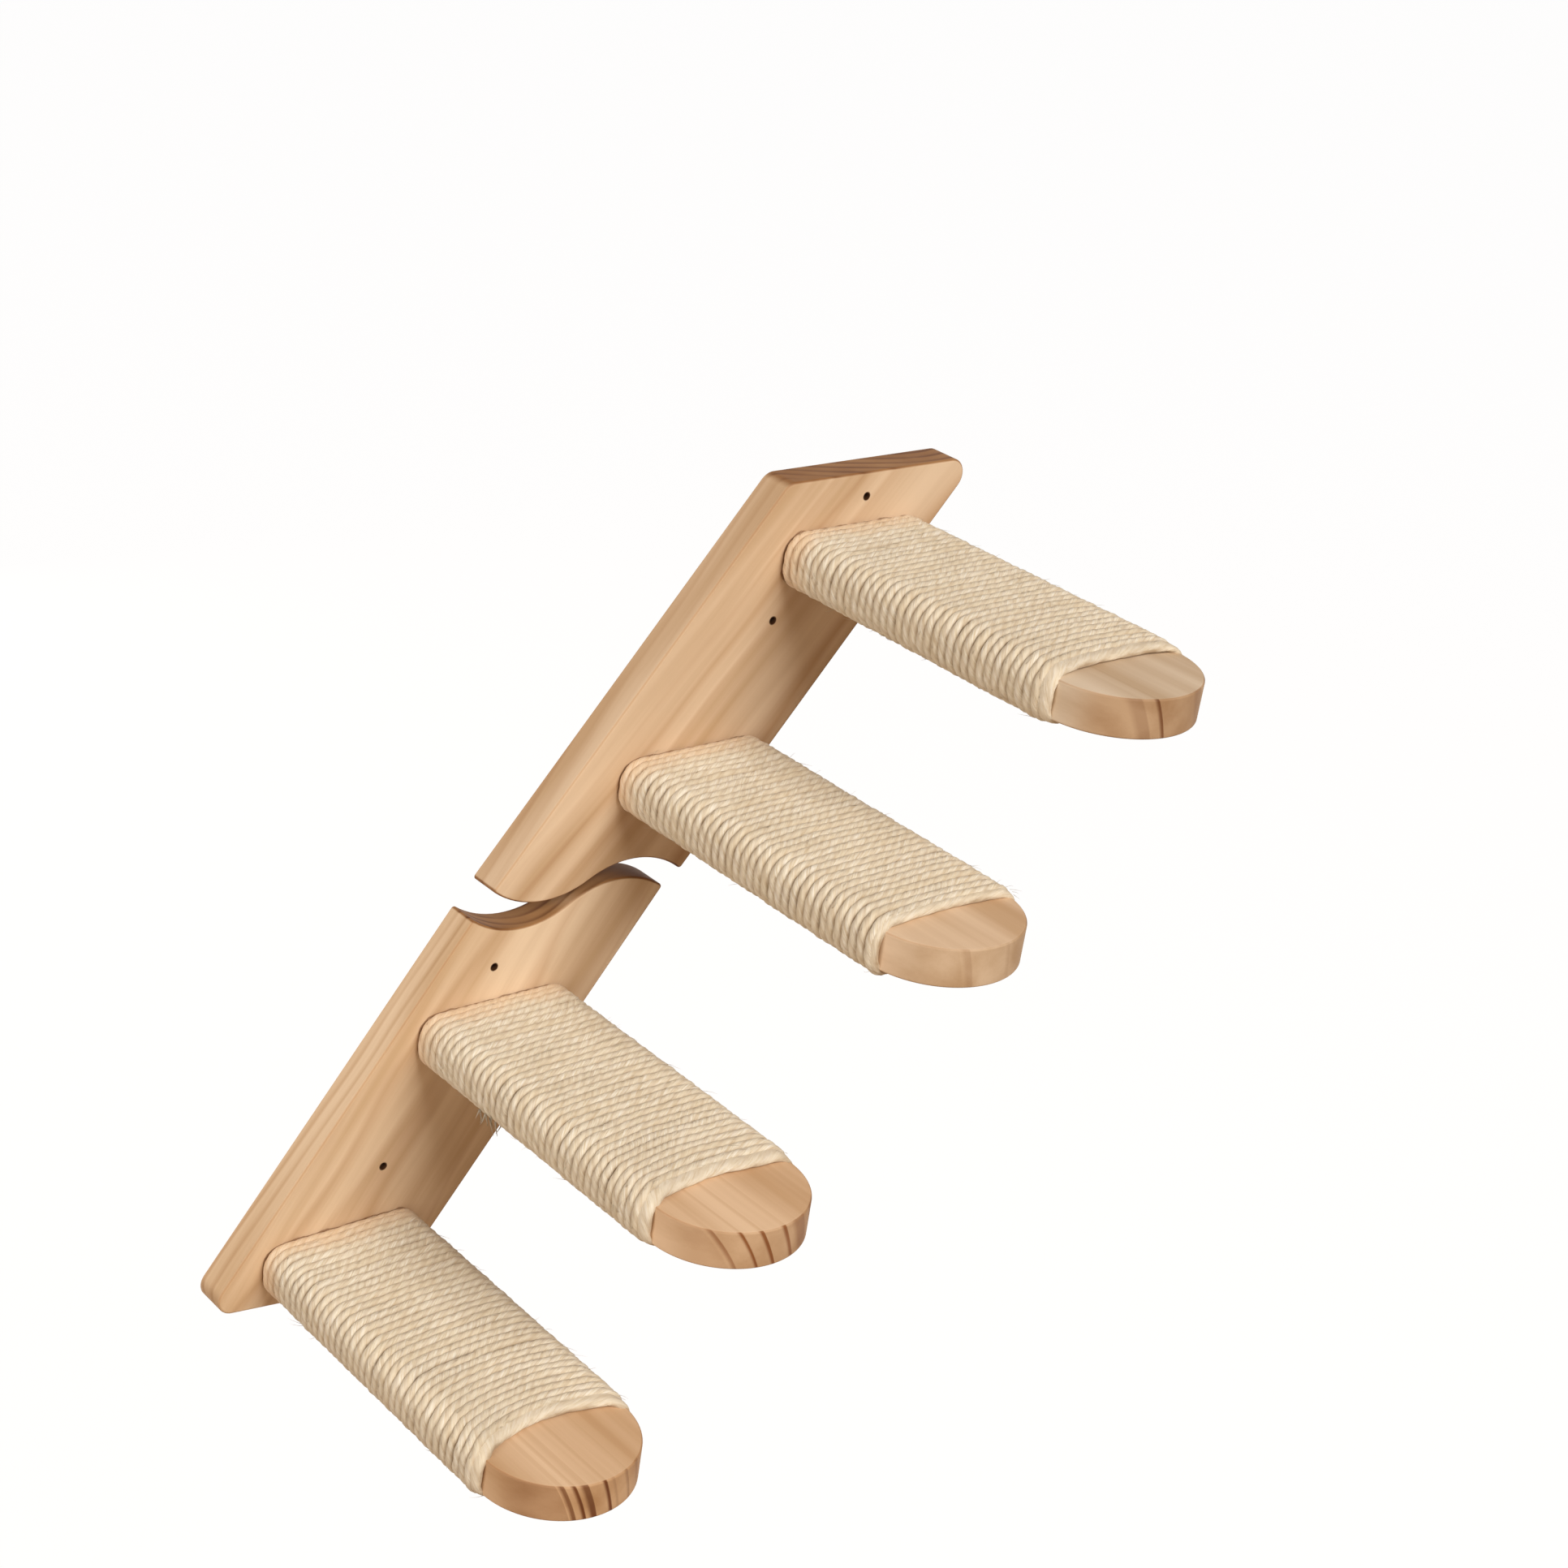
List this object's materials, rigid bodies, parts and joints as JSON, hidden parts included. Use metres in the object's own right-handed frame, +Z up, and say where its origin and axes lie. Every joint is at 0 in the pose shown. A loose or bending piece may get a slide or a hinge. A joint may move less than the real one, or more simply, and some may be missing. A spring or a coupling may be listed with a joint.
{
  "type": "cat climbing wall",
  "caption": "Slanted pine wall board in lengths that meet in an S-shaped joint, with flat round-ended steps standing out, each wound in sisal rope, for a cat to climb",
  "frame": {"origin": "middle of the lowest screw hole, on the wall's surface", "axes": "+X along the wall towards the upper end, +Y into the wall, +Z up; the steps stand out towards -Y"},
  "size_m": [0.4647, 0.27, 0.4508],
  "materials": {
    "board_pine": "planed and sanded clear pine, matt oiled",
    "step_pine": "planed and sanded clear pine, matt oiled",
    "sisal_rope": "natural laid sisal, hairy and dull",
    "bolt_steel": "bright zinc plated",
    "washer_steel": "bright zinc plated",
    "insert_brass": "turned",
    "tack_steel": "blued"
  },
  "bodies": {
    "root": {"lower_board": "board_pine", "upper_board": "board_pine", "step_1_plank": "step_pine", "step_1_sisal": "sisal_rope", "step_1_bolts": "bolt_steel", "step_1_washers": "washer_steel", "step_1_inserts": "insert_brass", "step_1_tacks": "tack_steel", "step_2_plank": "step_pine", "step_2_sisal": "sisal_rope", "step_2_bolts": "bolt_steel", "step_2_washers": "washer_steel", "step_2_inserts": "insert_brass", "step_2_tacks": "tack_steel", "step_3_plank": "step_pine", "step_3_sisal": "sisal_rope", "step_3_bolts": "bolt_steel", "step_3_washers": "washer_steel", "step_3_inserts": "insert_brass", "step_3_tacks": "tack_steel", "step_4_plank": "step_pine", "step_4_sisal": "sisal_rope", "step_4_bolts": "bolt_steel", "step_4_washers": "washer_steel", "step_4_inserts": "insert_brass", "step_4_tacks": "tack_steel"}
  },
  "joints": []
}
